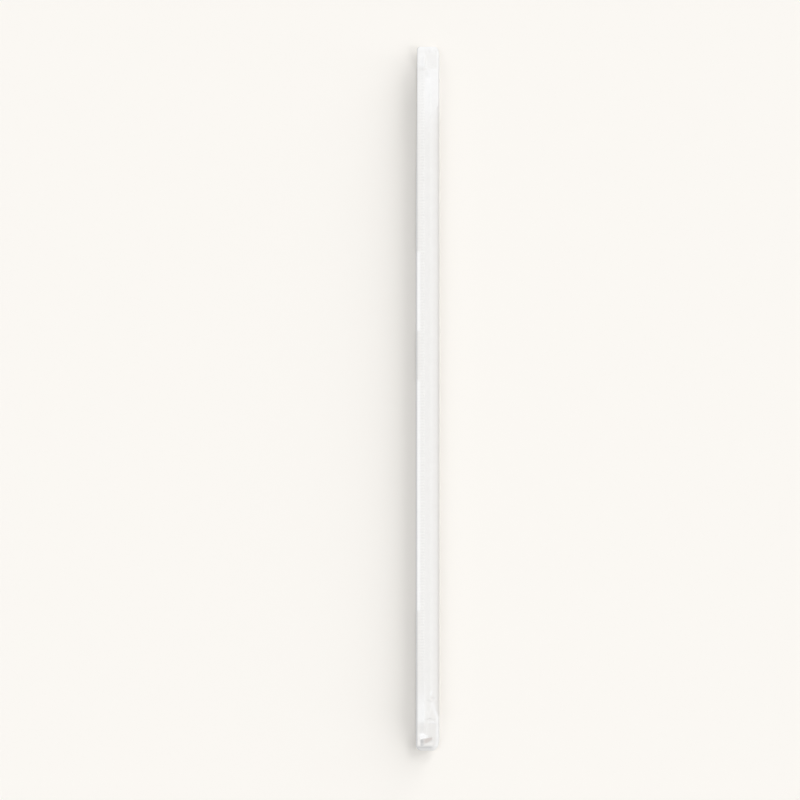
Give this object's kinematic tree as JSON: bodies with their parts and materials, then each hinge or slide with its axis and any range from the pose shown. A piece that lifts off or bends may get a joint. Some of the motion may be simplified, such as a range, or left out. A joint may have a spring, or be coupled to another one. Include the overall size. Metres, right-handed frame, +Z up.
{
  "type": "wrapped drinking straw",
  "caption": "Slim straight drinking straw sealed in a white paper sleeve, with a crimped seam along one side and flattened, closed ends.",
  "frame": {"origin": "middle of the pack's plan outline, on the surface that it lies on", "axes": "+X across the pack, from the crimped seam to the fold, +Y along the straw to the plain end, +Z up"},
  "size_m": [0.0068, 0.2138, 0.0034],
  "materials": {
    "wrapper_paper": "smooth uncoated white paper, matte with a faint calendered sheen"
  },
  "bodies": {
    "root": {"wrapped_straw": "wrapper_paper"}
  },
  "joints": []
}
